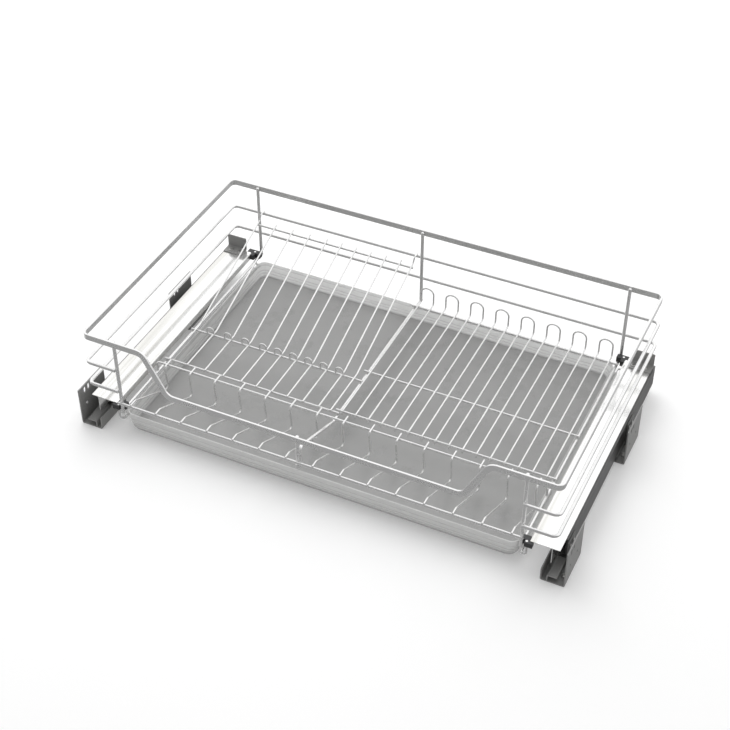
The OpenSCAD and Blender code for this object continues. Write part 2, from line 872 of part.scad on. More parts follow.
// A sheet from u to u_end at height v, with a ball track that bulges up or down from it.
module tracked_sheet(u, u_end, v, ball_u, ball_v) {
    up = ball_v < v ? 1 : 0;
    difference() {
        union() {
            translate([u, v]) square([u_end - u, runner_t]);
            intersection() {
                translate([ball_u, ball_v]) circle(r = bulge_r);
                translate([u, up ? v : v - 3 * runner_t])
                    square([u_end - u, 4 * runner_t]);
            }
        }
        translate([ball_u, ball_v]) circle(r = track_r);
    }
}

module fixed_profile() {
    translate([0, -fixed_v - runner_t])
        square([runner_t, 2 * fixed_v + 2 * runner_t]);
    both_flanges()
        tracked_sheet(0, runner_d, fixed_v, outer_ball_u, outer_ball_v);
}

// The middle rail has a track on the outside of each flange, and one on the inside.
module middle_profile() {
    v = middle_v - runner_t;
    u_end = inner_ball_u + track_r;
    translate([middle_u, -middle_v])
        square([runner_t, 2 * middle_v]);
    both_flanges()
        difference() {
            union() {
                tracked_sheet(middle_u, u_end, v, inner_ball_u, inner_ball_v);
                intersection() {
                    translate([outer_ball_u, outer_ball_v]) circle(r = bulge_r);
                    translate([middle_u, v - 2 * runner_t])
                        square([2 * bulge_r, 3 * runner_t]);
                }
            }
            translate([outer_ball_u, outer_ball_v]) circle(r = track_r);
        }
}

module basket_rail_profile() {
    v = basket_v - runner_t;
    u = inner_ball_u - track_r;
    translate([basket_u - runner_t, -basket_v])
        square([runner_t, 2 * basket_v]);
    both_flanges()
        tracked_sheet(u, basket_u, v, inner_ball_u, inner_ball_v);
}

module cage_profile(u, u_end, v) {
    difference() {
        translate([u, -v - cage_t / 2])
            square([u_end - u, 2 * v + cage_t]);
        translate([u + cage_t, -v + cage_t / 2])
            square([u_end - u, 2 * v - cage_t]);
    }
}

module fixed_rail() {
    color("dimgray") centred()
        difference() {
            along_runner(fixed_y, fixed_l) fixed_profile();
            rivet_places() rivet_head(hole_play);
        }
}

module fixed_rail_left() {
    flip(-1) fixed_rail();
}

module fixed_rail_right() {
    fixed_rail();
}

module middle_rail() {
    color("dimgray") centred()
        along_runner(middle_y, middle_l) middle_profile();
}

module middle_rail_left() {
    flip(-1) middle_rail();
}

module middle_rail_right() {
    middle_rail();
}

module basket_rail() {
    color("dimgray") centred()
        difference() {
            along_runner(basket_rail_y, plate_y + plate_l - basket_rail_y) basket_rail_profile();
            for (y = screw_ys)
                translate([hang_x, y, runner_z])
                    rotate([0, 90, 0])
                        cylinder(d = screw_d + 2 * hole_play, h = plate_t + 2 * runner_t);
        }
}

module basket_rail_left() {
    flip(-1) basket_rail();
}

module basket_rail_right() {
    basket_rail();
}

// Places something at each ball of one runner's rows.
module ball_places(y, u, v) {
    middle = y + cage_l / 2;
    for (i = [0:ball_count - 1], side = [-1, 1])
        translate([rail_back_x - u, middle + (i - (ball_count - 1) / 2) * ball_pitch, runner_z + side * v])
            children();
}

module cage(y, u, u_end, ball_u, ball_v) {
    color("silver") centred()
        difference() {
            along_runner(y, cage_l) cage_profile(u, u_end, ball_v);
            ball_places(y, ball_u, ball_v)
                cylinder(d = ball_d + play, h = 4 * cage_t, center = true);
        }
}

module outer_cage() {
    cage(outer_cage_y, cage_u, outer_ball_u + track_r + cage_lap, outer_ball_u, outer_ball_v);
}

module inner_cage() {
    cage(inner_cage_y, inner_cage_u, inner_ball_u + track_r, inner_ball_u, inner_ball_v);
}

module balls(y, u, v) {
    color("silver") centred()
        ball_places(y, u, v)
            sphere(d = ball_d);
}

module outer_balls() {
    balls(outer_cage_y, outer_ball_u, outer_ball_v);
}

module inner_balls() {
    balls(inner_cage_y, inner_ball_u, inner_ball_v);
}

module outer_cage_left() {
    flip(-1) outer_cage();
}

module outer_cage_right() {
    outer_cage();
}

module inner_cage_left() {
    flip(-1) inner_cage();
}

module inner_cage_right() {
    inner_cage();
}

module outer_balls_left() {
    flip(-1) outer_balls();
}

module outer_balls_right() {
    outer_balls();
}

module inner_balls_left() {
    flip(-1) inner_balls();
}

module inner_balls_right() {
    inner_balls();
}

// Brackets

module rivet_places() {
    for (y = [0, bracket_pitch], side = [-1, 1])
        translate([rail_back_x, y - bracket_lead + rivet_y + side * rivet_pitch / 2, runner_z])
            rotate([0, 90, 0])
                children();
}

// The rivet's sunk head, flush with the inside of the fixed rail.
module rivet_head(gap) {
    translate([0, 0, -runner_t])
        cylinder(r1 = rivet_d / 2 + runner_t + gap, r2 = rivet_d / 2 + gap, h = runner_t);
}

module rail_rivets() {
    color("silver") centred() both_sides()
        rivet_places() {
            rivet_head(0);
            cylinder(d = rivet_d, h = bracket_t);
            translate([0, 0, bracket_t])
                cylinder(d = rivet_head_d, h = rivet_head_h);
        }
}

module fix_slot(y) {
    translate([cabinet_w / 2 - bracket_t - cut, y, bracket_h - slot_drop])
        rotate([0, 90, 0])
            for (end = [-1, 1])
                translate([end * (slot_h - slot_w) / 2, 0, 0]) {
                    cylinder(d = slot_w, h = bracket_t + 2 * cut);
                    translate([-end * (slot_h - slot_w) / 4, 0, bracket_t / 2 + cut])
                        cube([(slot_h - slot_w) / 2, slot_w, bracket_t + 2 * cut], center = true);
                }
}

// A bracket is folded from sheet: outer wall, floor, inner lip, and a step with an upright tab
// to which the runner is riveted.
module bracket() {
    wall_x = cabinet_w / 2 - bracket_t / 2;
    lip_x = cabinet_w / 2 - bracket_w + bracket_t / 2;
    tab_x = rail_back_x + bracket_t / 2;
    step_x = rail_back_x - runner_d - step_gap;
    step_z = step_h - bracket_t / 2;
    half = bracket_t / 2;
    y = bracket_l / 2;
    difference() {
        union() {
            wire([[wall_x, y, bracket_h], [wall_x, y, half], [lip_x, y, half], [lip_x, y, bracket_lip_h]],
                 [bracket_t, bracket_l], bracket_fold_r);
            translate([rail_back_x, rail_inset, half])
                cube([bracket_t, tab_l, tab_h - half]);
            wire([[step_x + half, y, half], [step_x + half, y, step_z], [tab_x, y, step_z]],
                 [bracket_t, bracket_l], bracket_fold_r);
        }
        for (i = [0, 1])
            translate([wall_x - bracket_t, fix_y + i * fix_pitch, fix_z])
                rotate([0, 90, 0])
                    cylinder(d = fix_d, h = 2 * bracket_t);
        fix_slot(slot_y);
        fix_slot(slot_y + slot_pitch);
        for (side = [-1, 1])
            translate([rail_back_x - cut, rivet_y + side * rivet_pitch / 2, runner_z])
                rotate([0, 90, 0])
                    cylinder(d = rivet_d + 2 * hole_play, h = bracket_t + 2 * cut);
        translate([adjust_x, adjust_y, -cut])
            cylinder(d = adjust_d + 2 * hole_play, h = bracket_t + 2 * cut);
    }
}

module bracket_at(side, row) {
    color("dimgray") centred() flip(side)
        translate([0, -bracket_lead + row * bracket_pitch, 0])
            bracket();
}

module bracket_front_left() {
    bracket_at(-1, 0);
}

module bracket_front_right() {
    bracket_at(1, 0);
}

module bracket_rear_left() {
    bracket_at(-1, 1);
}

module bracket_rear_right() {
    bracket_at(1, 1);
}

// Adjusting screws through the brackets' floors, with their heads inside.
module adjusting_screws() {
    color("silver") centred() both_sides()
        for (row = [0, 1])
            translate([adjust_x, row * bracket_pitch - bracket_lead + adjust_y, 0]) {
                cylinder(d = adjust_d, h = bracket_t);
                translate([0, 0, bracket_t])
                    cylinder(d = adjust_head_d, h = adjust_head_h);
            }
}

bracket_front_left();
bracket_front_right();
bracket_rear_left();
bracket_rear_right();
adjusting_screws();
rail_rivets();
fixed_rail_left();
fixed_rail_right();
middle_rail_left();
middle_rail_right();
outer_cage_left();
outer_cage_right();
inner_cage_left();
inner_cage_right();
outer_balls_left();
outer_balls_right();
inner_balls_left();
inner_balls_right();
basket_rail_left();
basket_rail_right();
cover_plate_left();
cover_plate_right();
plate_screws();
front_clips();
rear_clips();
rear_stop_left();
rear_stop_right();
stop_screws();
tray_hanger_left();
tray_hanger_right();
top_rail();
upper_side_wire();
lower_side_wire();
front_posts();
front_centre_post();
post_cap();
back_posts();
side_bars();
centre_bar();
front_bottom_wire();
cradle_wires();
cradle_cross_wire();
plate_rack_wires();
plate_rack_arches();
plate_rack_cross_wires();
bowl_rack_wires();
bowl_rack_cross_wires();
drip_tray();
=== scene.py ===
# A pull-out dish rack for a base cabinet, finished and lit as on a studio table.
# All lengths are in metres, in the rack's own frame: X across, Y to the back, Z up.
import math

import bmesh
import bpy
from mathutils import Matrix, Vector


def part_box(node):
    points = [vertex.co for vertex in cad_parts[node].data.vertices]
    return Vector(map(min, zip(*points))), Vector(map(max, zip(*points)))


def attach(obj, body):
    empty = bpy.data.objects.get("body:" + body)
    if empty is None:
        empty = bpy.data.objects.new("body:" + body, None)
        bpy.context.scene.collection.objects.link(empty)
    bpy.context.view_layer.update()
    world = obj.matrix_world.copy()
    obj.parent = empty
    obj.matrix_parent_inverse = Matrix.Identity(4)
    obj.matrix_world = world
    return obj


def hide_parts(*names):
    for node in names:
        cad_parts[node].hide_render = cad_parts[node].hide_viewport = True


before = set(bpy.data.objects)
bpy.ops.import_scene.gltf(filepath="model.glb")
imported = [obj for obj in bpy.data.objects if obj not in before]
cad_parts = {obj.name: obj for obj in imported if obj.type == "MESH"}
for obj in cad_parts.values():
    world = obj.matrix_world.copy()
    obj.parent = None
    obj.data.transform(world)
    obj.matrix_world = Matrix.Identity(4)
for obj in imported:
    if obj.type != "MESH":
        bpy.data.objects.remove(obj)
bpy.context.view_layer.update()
bpy.ops.object.select_all(action="DESELECT")

# The camera stands in front, to the right and well above the rack, and looks down at it. Its
# values were solved from the lines of the basket, for a square picture.
picture_px = 730
focal_px = 1486.96
centre_px = Vector((371.94, 365.58))
sensor_mm = 36
view_az, view_el = math.radians(25.18), math.radians(40.55)
view_distance = 2.5155
look_at = Vector((-0.01086, 0.00508, 0.08))

back = Vector((math.sin(view_az) * math.cos(view_el),
               -math.cos(view_az) * math.cos(view_el),
               math.sin(view_el)))
bpy.ops.object.camera_add(location=look_at + view_distance * back)
camera = bpy.context.object
camera.name = "camera"
camera.rotation_mode = "QUATERNION"
camera.rotation_quaternion = (-back).to_track_quat("-Z", "Y")
camera.data.sensor_width = sensor_mm
camera.data.lens = sensor_mm * focal_px / picture_px
camera.data.shift_x = (picture_px / 2 - centre_px.x) / picture_px
camera.data.shift_y = (centre_px.y - picture_px / 2) / picture_px
bpy.context.scene.camera = camera
bpy.context.scene.view_settings.view_transform = "Standard"


# The studio: a wide white floor that fades into a white room, and one broad soft lamp that hangs
# above and behind the rack, so that its shadow falls to the front.
# The nodes of the studio and of every finish are added through these two small classes.
class Value:
    """An output of a node. Arithmetic on it adds the Math node that works it out."""

    def __init__(self, nodes, socket):
        self.nodes = nodes
        self.socket = socket

    def math(self, operation, first, second):
        return self.nodes.add("ShaderNodeMath", {"operation": operation}, {0: first, 1: second})

    def __add__(self, other):
        return self.math("ADD", self, other)

    def __radd__(self, other):
        return self.math("ADD", other, self)

    def __sub__(self, other):
        return self.math("SUBTRACT", self, other)

    def __rsub__(self, other):
        return self.math("SUBTRACT", other, self)

    def __mul__(self, other):
        return self.math("MULTIPLY", self, other)

    def __rmul__(self, other):
        return self.math("MULTIPLY", other, self)

    def other(self, output):
        """Another output of the same node."""
        return Value(self.nodes, self.socket.node.outputs[output])

    def limited(self, low=0.0, high=1.0):
        return self.math("MAXIMUM", self.math("MINIMUM", self, high), low)


class Nodes:
    """The nodes of a material or of the world, added one at a time by add()."""

    def __init__(self, owner):
        owner.use_nodes = True
        self.owner = owner
        self.tree = owner.node_tree

    def feed(self, socket, value):
        if isinstance(value, Value):
            self.tree.links.new(value.socket, socket)
        else:
            socket.default_value = value

    def add(self, kind, settings=None, inputs=None, output=0):
        node = self.tree.nodes.new(kind)
        for name, setting in (settings or {}).items():
            setattr(node, name, setting)
        for name, value in (inputs or {}).items():
            self.feed(node.inputs[name], value)
        return Value(self, node.outputs[output]) if node.outputs else None


def seen_rays(nodes):
    """1 for rays that show the background: straight, off a shiny piece or through a clear one."""
    rays = nodes.add("ShaderNodeLightPath", output="Is Camera Ray")
    return (rays + rays.other("Is Glossy Ray") + rays.other("Is Transmission Ray")).limited()


white = (1, 1, 1, 1)
floor_r = 3.6
floor_fade = 1.5
floor_shade = 0.80
room_light = 0.55
lamp_size = 4.2
lamp_distance = 3.0
lamp_way = Vector((-0.25, 0.55, 0.80))
lamp_watts = 98

bpy.ops.mesh.primitive_circle_add(vertices=96, radius=floor_r, fill_type="NGON")
floor = bpy.context.object
floor.name = "studio_floor"
floor.visible_glossy = False
studio = Nodes(bpy.data.materials.new("studio_floor_white"))
studio.tree.nodes.clear()
place = studio.add("ShaderNodeTexCoord", output="Object")
reach = studio.add("ShaderNodeVectorMath", {"operation": "LENGTH"}, {0: place}, "Value")
faded = ((reach - floor_fade) * (1 / (floor_r - floor_fade))).limited()
matt = studio.add("ShaderNodeBsdfDiffuse", inputs={"Color": (floor_shade,) * 3 + (1,)})
strength = seen_rays(studio) * (1 - floor_shade)
glow = studio.add("ShaderNodeEmission", inputs={"Color": white, "Strength": strength})
lit = studio.add("ShaderNodeAddShader", inputs={0: matt, 1: glow})
clear = studio.add("ShaderNodeBsdfTransparent")
mixed = studio.add("ShaderNodeMixShader", inputs={0: faded, 1: lit, 2: clear})
studio.add("ShaderNodeOutputMaterial", inputs={"Surface": mixed})
floor.data.materials.append(studio.owner)

world = bpy.data.worlds.new("studio_room")
bpy.context.scene.world = world
room = Nodes(world)
room.tree.nodes.clear()
strength = room_light + seen_rays(room) * (1 - room_light)
glow = room.add("ShaderNodeBackground", inputs={"Color": white, "Strength": strength})
room.add("ShaderNodeOutputWorld", inputs={"Surface": glow})

bpy.ops.object.light_add(type="AREA", location=lamp_distance * lamp_way.normalized())
lamp = bpy.context.object
lamp.name = "overhead_softbox"
lamp.rotation_euler = lamp_way.to_track_quat("Z", "Y").to_euler()
lamp.data.shape = "DISK"
lamp.data.size = lamp_size
lamp.data.energy = lamp_watts
lamp.visible_glossy = False

# Only reflections see the dome around the studio, and they see it in place of the floor too. Its
# back is one soft box above and white ground below on the left. The flags in front and below on the
# right are darker, which gives polished metal its grey sides.
dome_r = 4.8
card_glow = {"softbox_white": 1.3, "flag_grey": 0.37, "ground_white": 0.85}
flag_start = -1.2
ground_end = 1.3

bpy.ops.mesh.primitive_uv_sphere_add(segments=48, ring_count=24, radius=dome_r)
dome = bpy.context.object
dome.name = "reflection_dome"
for card_name, strength in card_glow.items():
    card = Nodes(bpy.data.materials.new(card_name))
    card.tree.nodes.clear()
    glow = card.add("ShaderNodeEmission", inputs={"Color": white, "Strength": strength})
    card.add("ShaderNodeOutputMaterial", inputs={"Surface": glow})
    dome.data.materials.append(card.owner)
card_names = list(card_glow)
for face in dome.data.polygons:
    below = face.center.z < 0
    if face.center.y < flag_start or (below and face.center.x > ground_end):
        face.material_index = card_names.index("flag_grey")
    elif below:
        face.material_index = card_names.index("ground_white")
dome.visible_camera = dome.visible_diffuse = dome.visible_transmission = False
dome.visible_shadow = False


# Brackets: four, folded from 2 mm sheet steel and powder coated dark grey, so their skin has the
# fine orange peel of the coat, with small changes in its shade.
class Surface(Nodes):
    """A material whose patterns read the place on the piece."""

    def __init__(self, name):
        super().__init__(bpy.data.materials.new(name))
        self.shader = self.tree.nodes["Principled BSDF"]
        self.place = self.add("ShaderNodeTexCoord", output="Object")

    def look(self, socket, value):
        """Feeds one of the shader's sockets."""
        self.feed(self.shader.inputs[socket], value)

    def noise(self, scale, detail=2.0, place=None):
        inputs = {"Vector": place or self.place, "Scale": scale, "Detail": detail}
        return self.add("ShaderNodeTexNoise", inputs=inputs)

    def drawn_noise(self, across, along, detail):
        """Noise drawn out along Y: the lines that rolling left in the metal, and the painted
        reflections along the cover plates.
        """
        inputs = {"Vector": self.place, "Scale": (across, along, across)}
        return self.noise(1.0, detail, self.add("ShaderNodeMapping", inputs=inputs))

    def blend(self, factor, first, second):
        """A colour between two, by factor."""
        inputs = {0: factor, 6: (*first, 1), 7: (*second, 1)}
        return self.add("ShaderNodeMix", {"data_type": "RGBA"}, inputs, 2)

    def relief(self, strength, height, depth=0.0001):
        """Fine relief in the skin of a piece."""
        inputs = {"Strength": strength, "Distance": depth, "Height": height}
        self.look("Normal", self.add("ShaderNodeBump", inputs=inputs))


def powder_coat(name, shade, roughness):
    coat = Surface(name)
    cloud = coat.noise(22.0, 4.0)
    peel = coat.noise(650.0)
    speck = coat.noise(2600.0, 1.0)
    darker = (shade * 0.8, shade * 0.8, shade * 0.8)
    lighter = (shade * 1.25, shade * 1.24, shade * 1.2)
    coat.look("Base Color", coat.blend(cloud * 0.7 + speck * 0.3, darker, lighter))
    coat.look("Roughness", roughness + (cloud - 0.5) * 0.12 + (peel - 0.5) * 0.1)
    coat.relief(0.2, peel * 0.8 + speck * 0.2)
    return coat.owner


def finish(material, *names):
    """Gives CAD nodes their finish."""
    for name in names:
        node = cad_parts[name]
        node.data.materials.clear()
        node.data.materials.append(material)


finish(powder_coat("bracket_powder_coat", 0.26, 0.45),
       "bracket_front_left", "bracket_front_right", "bracket_rear_left", "bracket_rear_right")


# Levelling screws: zinc plated steel, with a pan head and a cross recess pressed into it, on a
# short shank. Each stands in the hole of a bracket's floor.
def zinc_plate():
    plate = Surface("zinc_plate")
    cloud = plate.noise(160.0, 4.0)
    grain = plate.noise(2400.0)
    plate.look("Base Color", plate.blend(cloud, (0.50, 0.51, 0.53), (0.66, 0.65, 0.60)))
    plate.look("Roughness", 0.24 + cloud * 0.14 + grain * 0.08)
    plate.look("Metallic", 1.0)
    plate.relief(0.12, grain)
    return plate.owner


def edit(piece, mode="VERT"):
    """Opens a piece in edit mode with nothing selected, and returns its mesh for selecting."""
    bpy.context.view_layer.objects.active = piece
    bpy.ops.object.mode_set(mode="EDIT")
    bpy.ops.mesh.select_mode(type=mode)
    bpy.ops.mesh.select_all(action="DESELECT")
    return bmesh.from_edit_mesh(piece.data)


def pick(mesh, parts, wanted):
    """Selects the vertices, edges or faces for which wanted is true, and nothing else."""
    bpy.ops.mesh.select_all(action="DESELECT")
    for part in parts:
        if wanted(part):
            part.select_set(True)
    mesh.select_flush_mode()


def close_edit():
    bpy.ops.object.mode_set(mode="OBJECT")
    bpy.ops.object.select_all(action="DESELECT")


def apply_modifier(piece, kind, **settings):
    bpy.context.view_layer.objects.active = piece
    modifier = piece.modifiers.new(kind.lower(), kind)
    for name, setting in settings.items():
        setattr(modifier, name, setting)
    bpy.ops.object.modifier_apply(modifier=modifier.name)


def settle(piece, material=None, smooth_angle=35):
    """Moves a piece's place into its mesh, smooths it and gives it its finish."""
    bpy.ops.object.select_all(action="DESELECT")
    piece.select_set(True)
    bpy.context.view_layer.objects.active = piece
    bpy.ops.object.transform_apply(location=True, rotation=True, scale=True)
    bpy.ops.object.shade_smooth_by_angle(angle=math.radians(smooth_angle))
    if material:
        piece.data.materials.clear()
        piece.data.materials.append(material)
    bpy.ops.object.select_all(action="DESELECT")


def at(x, y, z, turn=0.0, axis="Z"):
    """The place of a copy: turned about an axis through its origin, then moved."""
    return Matrix.Translation((x, y, z)) @ Matrix.Rotation(turn, 4, axis)


def repeat(model, places, name, body):
    """Copies a finished model to each place, joins the copies into one piece on a body."""
    copies = []
    for placed in places:
        copy = model.copy()
        copy.data = model.data.copy()
        copy.data.transform(placed)
        bpy.context.collection.objects.link(copy)
        copies.append(copy)
    bpy.data.objects.remove(model)
    bpy.ops.object.select_all(action="DESELECT")
    for copy in copies:
        copy.select_set(True)
    bpy.context.view_layer.objects.active = copies[0]
    bpy.ops.object.join()
    bpy.ops.object.select_all(action="DESELECT")
    piece = copies[0]
    piece.name = piece.data.name = name
    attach(piece, body)
    return piece


def solid_boxes(node):
    """The lowest and highest corner of each separate solid of a CAD node."""
    copy = bmesh.new()
    copy.from_mesh(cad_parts[node].data)
    bmesh.ops.remove_doubles(copy, verts=copy.verts, dist=1e-6)
    waiting = set(copy.verts)
    boxes = []
    while waiting:
        found = {waiting.pop()}
        front = list(found)
        while front:
            near = {e.other_vert(v) for v in front for e in v.link_edges} - found
            found |= near
            front = list(near)
        waiting -= found
        low = Vector(min(v.co[i] for v in found) for i in range(3))
        high = Vector(max(v.co[i] for v in found) for i in range(3))
        boxes.append((low, high))
    copy.free()
    return sorted(boxes, key=lambda b: tuple(round(c, 4) for c in b[0] + b[1]))


def pan_screw(head_d, head_h, shank_d, shank_l, material, recess=True):
    """A pan head screw or rivet, with its head on Z 0 and its shank below."""
    crown, rim, shank_end = 0.55 * head_h, 0.08 * head_h, 0.12 * shank_d
    blade_size = (0.56 * head_d, 0.13 * head_d, 1.3 * head_h)
    blade_taper = 0.55
    bpy.ops.mesh.primitive_cylinder_add(vertices=32, radius=head_d / 2, depth=head_h,
                                        location=(0, 0, head_h / 2))
    screw = bpy.context.object
    settle(screw)
    mesh = edit(screw, "EDGE")
    pick(mesh, mesh.edges, lambda e: all(v.co.z > 0.9 * head_h for v in e.verts))
    bpy.ops.mesh.bevel(offset=crown, segments=5, profile=0.55)
    mesh = bmesh.from_edit_mesh(screw.data)
    pick(mesh, mesh.edges, lambda e: all(v.co.z < 0.1 * head_h for v in e.verts))
    bpy.ops.mesh.bevel(offset=rim, segments=2)
    close_edit()
    bpy.ops.mesh.primitive_cylinder_add(vertices=24, radius=shank_d / 2, depth=shank_l,
                                        location=(0, 0, -shank_l / 2))
    shank = bpy.context.object
    settle(shank)
    if recess:
        mesh = edit(shank, "EDGE")
        pick(mesh, mesh.edges, lambda e: all(v.co.z < -0.9 * shank_l for v in e.verts))
        bpy.ops.mesh.bevel(offset=shank_end, segments=2)
        close_edit()
        for turn in (0, quarter_turn):
            bpy.ops.mesh.primitive_cube_add(size=1, location=(0, 0, head_h))
            blade = bpy.context.object
            blade.scale = blade_size
            blade.rotation_euler.z = turn
            settle(blade)
            mesh = edit(blade, "FACE")
            pick(mesh, mesh.faces, lambda f: f.normal.z < -0.9)
            bpy.ops.transform.resize(value=(blade_taper, blade_taper, 1))
            close_edit()
            apply_modifier(screw, "BOOLEAN", operation="DIFFERENCE", object=blade, solver="EXACT")
            bpy.data.objects.remove(blade)
    apply_modifier(screw, "BOOLEAN", operation="UNION", object=shank, solver="EXACT")
    bpy.data.objects.remove(shank)
    settle(screw, material)
    return screw


quarter_turn = math.pi / 2
zinc = zinc_plate()
level_head_d, level_head_h = 0.009, 0.003
level_shank_d, level_shank_l = 0.005, 0.002
# Here and below, each screw's recess stands at an angle of its own.
places = []
for low, high in solid_boxes("adjusting_screws"):
    middle = (low + high) / 2
    turn = 40 * middle.x + 7 * middle.y
    places.append(at(middle.x, middle.y, high.z - level_head_h, turn))
level_screw = pan_screw(level_head_d, level_head_h, level_shank_d, level_shank_l, zinc)
level_screws = repeat(level_screw, places, "levelling_screws", "mounting")
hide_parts("adjusting_screws")


# Rivets: eight of zinc plated steel, which hold the fixed rails to the brackets. Each has a low
# round head outside, and its other end is pressed flat in the rail.
def centre_of(part):
    return sum((v.co for v in part.verts), Vector()) / len(part.verts)


rivet_head_d, rivet_head_h, rivet_shank_d = 0.007, 0.0014, 0.004
rivet_sunk_d, rivet_sunk_h = 0.0064, 0.0012
rivet_boxes = solid_boxes("rail_rivets")
rivet_low, rivet_high = rivet_boxes[0]
rivet_shank_l = rivet_high.x - rivet_low.x - rivet_head_h - rivet_sunk_h
places = []
for low, high in rivet_boxes:
    outward = 1 if low.x > 0 else -1
    head_x = (high.x if outward > 0 else low.x) - outward * rivet_head_h
    y, z = (low.y + high.y) / 2, (low.z + high.z) / 2
    places.append(at(head_x, y, z, outward * quarter_turn, "Y"))
rivet = pan_screw(rivet_head_d, rivet_head_h, rivet_shank_d, rivet_shank_l, zinc, recess=False)
mesh = edit(rivet, "FACE")
pick(mesh, mesh.faces, lambda f: f.normal.z < -0.9 and centre_of(f).z < -0.9 * rivet_shank_l)
bpy.ops.mesh.extrude_region_move(TRANSFORM_OT_translate={"value": (0, 0, -rivet_sunk_h)})
spread = rivet_sunk_d / rivet_shank_d
bpy.ops.transform.resize(value=(spread, spread, 1), center_override=(0, 0, 0))
close_edit()
settle(rivet, zinc)
rivets = repeat(rivet, places, "runner_rivets", "mounting")
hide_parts("rail_rivets")


# Runners: on each side a fixed, a middle and a basket rail, rolled from blackened steel, with two
# rows of hardened steel balls that run in stamped cages.
def rolled_steel():
    steel = Surface("rolled_steel")
    lines = steel.drawn_noise(900.0, 6.0, 3.0)
    cloud = steel.noise(30.0, 3.0)
    steel.look("Base Color", steel.blend(lines, (0.085, 0.085, 0.087), (0.14, 0.138, 0.134)))
    steel.look("Roughness", 0.36 + cloud * 0.12 + lines * 0.08)
    steel.look("Metallic", 0.4)
    steel.relief(0.1, lines)
    return steel.owner


def ball_steel():
    steel = Surface("ball_steel")
    cloud = steel.noise(400.0, 3.0)
    steel.look("Base Color", steel.blend(cloud, (0.60, 0.60, 0.61), (0.68, 0.68, 0.67)))
    steel.look("Roughness", 0.06 + cloud * 0.08)
    steel.look("Metallic", 1.0)
    return steel.owner


rail_steel = rolled_steel()
balls = ball_steel()
for side in ("left", "right"):
    finish(rail_steel, "fixed_rail_" + side, "middle_rail_" + side, "basket_rail_" + side)
    finish(zinc, "outer_cage_" + side, "inner_cage_" + side)
    finish(balls, "outer_balls_" + side, "inner_balls_" + side)


# Cover plates: thin stainless sheet, bent down along the inner edge and polished bright, with
# the faint lengthwise lines of the rolling still in it. Three screws hold each to its rail.
def bright_sheet():
    sheet = Surface("bright_sheet")
    lines = sheet.drawn_noise(700.0, 3.0, 3.0)
    bands = sheet.drawn_noise(60.0, 1.2, 2.0)
    # Painted reflections: darker cream bands along the sheet, in its colour, stand in for what the
    # polished plate mirrors around it.
    painted_reflections = ((bands - 0.48) * 4.0).limited(0.0, 0.9)
    sheet.look("Base Color", sheet.blend(painted_reflections, (0.93, 0.93, 0.925), (0.56, 0.55, 0.51)))
    sheet.look("Roughness", 0.10 + lines * 0.07 + bands * 0.05)
    sheet.look("Metallic", 0.8)
    sheet.relief(0.05, lines)
    return sheet.owner


finish(bright_sheet(), "cover_plate_left", "cover_plate_right")

plate_head_d, plate_head_h = 0.008, 0.0016
plate_shank_d, plate_shank_l = 0.004, 0.0024
places = []
for low, high in solid_boxes("plate_screws"):
    middle = (low + high) / 2
    outward = 1 if middle.x > 0 else -1
    inner_x = (low.x if outward > 0 else high.x) + outward * plate_head_h
    lying = at(inner_x, middle.y, middle.z, -outward * quarter_turn, "Y")
    places.append(lying @ Matrix.Rotation(9 * middle.y, 4, "Z"))
plate_screw = pan_screw(plate_head_d, plate_head_h, plate_shank_d, plate_shank_l, zinc)
plate_screws = repeat(plate_screw, places, "cover_plate_screws", "basket")
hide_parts("plate_screws")

# Rear stops: an upright steel plate on a foot, powder coated dark grey and held to the cover plate
# by two screws.
finish(powder_coat("stop_powder_coat", 0.26, 0.5), "rear_stop_left", "rear_stop_right")

stop_head_d, stop_head_h = 0.008, 0.0016
stop_shank_d, stop_shank_l = 0.004, 0.002
places = []
for low, high in solid_boxes("stop_screws"):
    middle = (low + high) / 2
    places.append(at(middle.x, middle.y, high.z - stop_head_h, 30 * middle.x))
stop_screw = pan_screw(stop_head_d, stop_head_h, stop_shank_d, stop_shank_l, zinc)
stop_screws = repeat(stop_screw, places, "rear_stop_screws", "basket")
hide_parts("stop_screws")


# Wire basket: chromed steel wire and flat bar, drawn, bent and welded first, then plated with a
# satin finish, so that the shine runs on over the welds with only small changes in the polish.
def satin_chrome():
    plating = Surface("satin_chrome")
    cloud = plating.noise(18.0, 3.0)
    grain = plating.noise(900.0)
    plating.look("Base Color", plating.blend(cloud, (0.75, 0.75, 0.752), (0.82, 0.818, 0.812)))
    plating.look("Roughness", 0.21 + cloud * 0.08 + grain * 0.04)
    plating.look("Metallic", 0.9)
    plating.relief(0.012, grain)
    return plating.owner


def weld_bead(length, width, height):
    """A small flattened bead, centred on Z 0 and drawn out along X."""
    flank = 0.3 * height
    flank_draw = 0.9
    bpy.ops.mesh.primitive_uv_sphere_add(segments=10, ring_count=6, radius=0.5)
    bead = bpy.context.object
    bead.scale = (length, width, height)
    settle(bead, chrome)
    mesh = edit(bead)
    pick(mesh, mesh.verts, lambda v: abs(v.co.z) < flank)
    bpy.ops.transform.resize(value=(flank_draw, flank_draw, 1))
    close_edit()
    return bead


def wire_tip(diameter):
    """The rounded end of a cut wire, on Z 0: a flattened half ball, a hair inside the wire."""
    inside, flat = 0.995, 0.5
    bpy.ops.mesh.primitive_uv_sphere_add(segments=12, ring_count=8, radius=diameter / 2)
    tip = bpy.context.object
    mesh = edit(tip)
    pick(mesh, mesh.verts, lambda v: v.co.z < -0.02 * diameter)
    bpy.ops.mesh.delete(type="VERT")
    bpy.ops.mesh.select_all(action="SELECT")
    bpy.ops.transform.resize(value=(inside, inside, flat), center_override=(0, 0, 0))
    close_edit()
    settle(tip, chrome)
    return tip


def middle_of(box):
    """The middle of a box, given by its lowest and highest corner."""
    low, high = map(Vector, box)
    return (low + high) / 2


